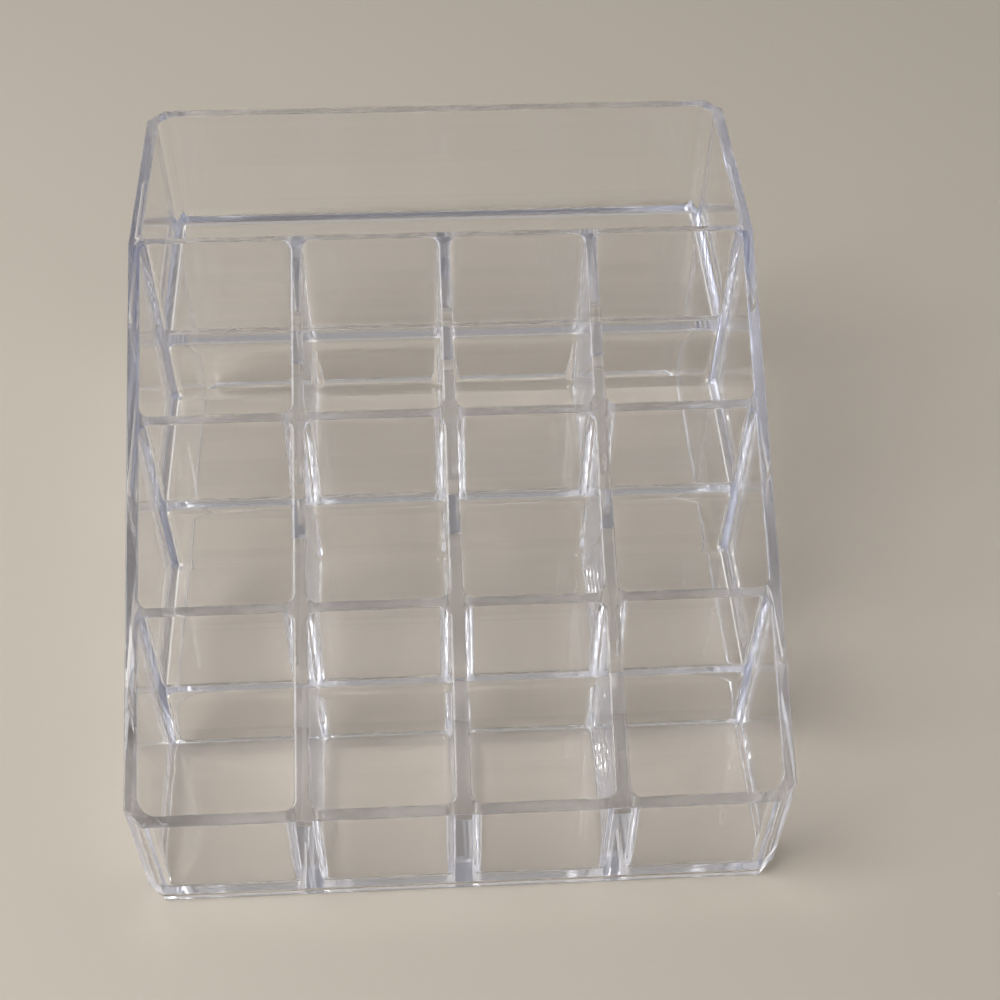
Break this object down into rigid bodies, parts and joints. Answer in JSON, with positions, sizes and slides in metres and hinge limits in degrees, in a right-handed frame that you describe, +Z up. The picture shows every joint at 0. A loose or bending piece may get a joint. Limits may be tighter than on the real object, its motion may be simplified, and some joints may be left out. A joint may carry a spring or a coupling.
{
  "type": "clear stepped cosmetic organizer",
  "caption": "Clear stepped tabletop organizer with rows of small square cells that rise to the back and one wide slot behind them",
  "frame": {"origin": "middle of the foot, on the surface that the organizer stands on", "axes": "+Z up, the low front faces -Y, +X to the right as seen from the front"},
  "size_m": [0.11, 0.1286, 0.0705],
  "materials": {
    "clear_wall": "clear, polished",
    "clear_partition": "clear, polished",
    "clear_floor": "clear, polished",
    "clear_divider": "clear, polished"
  },
  "bodies": {
    "root": {"front_wall": "clear_wall", "back_wall": "clear_wall", "left_wall": "clear_wall", "right_wall": "clear_wall", "front_partition": "clear_partition", "middle_partition": "clear_partition", "rear_partition": "clear_partition", "front_floor": "clear_floor", "middle_floor": "clear_floor", "rear_floor": "clear_floor", "back_slot_floor": "clear_floor", "front_left_divider": "clear_divider", "front_centre_divider": "clear_divider", "front_right_divider": "clear_divider", "middle_left_divider": "clear_divider", "middle_centre_divider": "clear_divider", "middle_right_divider": "clear_divider", "rear_left_divider": "clear_divider", "rear_centre_divider": "clear_divider", "rear_right_divider": "clear_divider"}
  },
  "joints": []
}
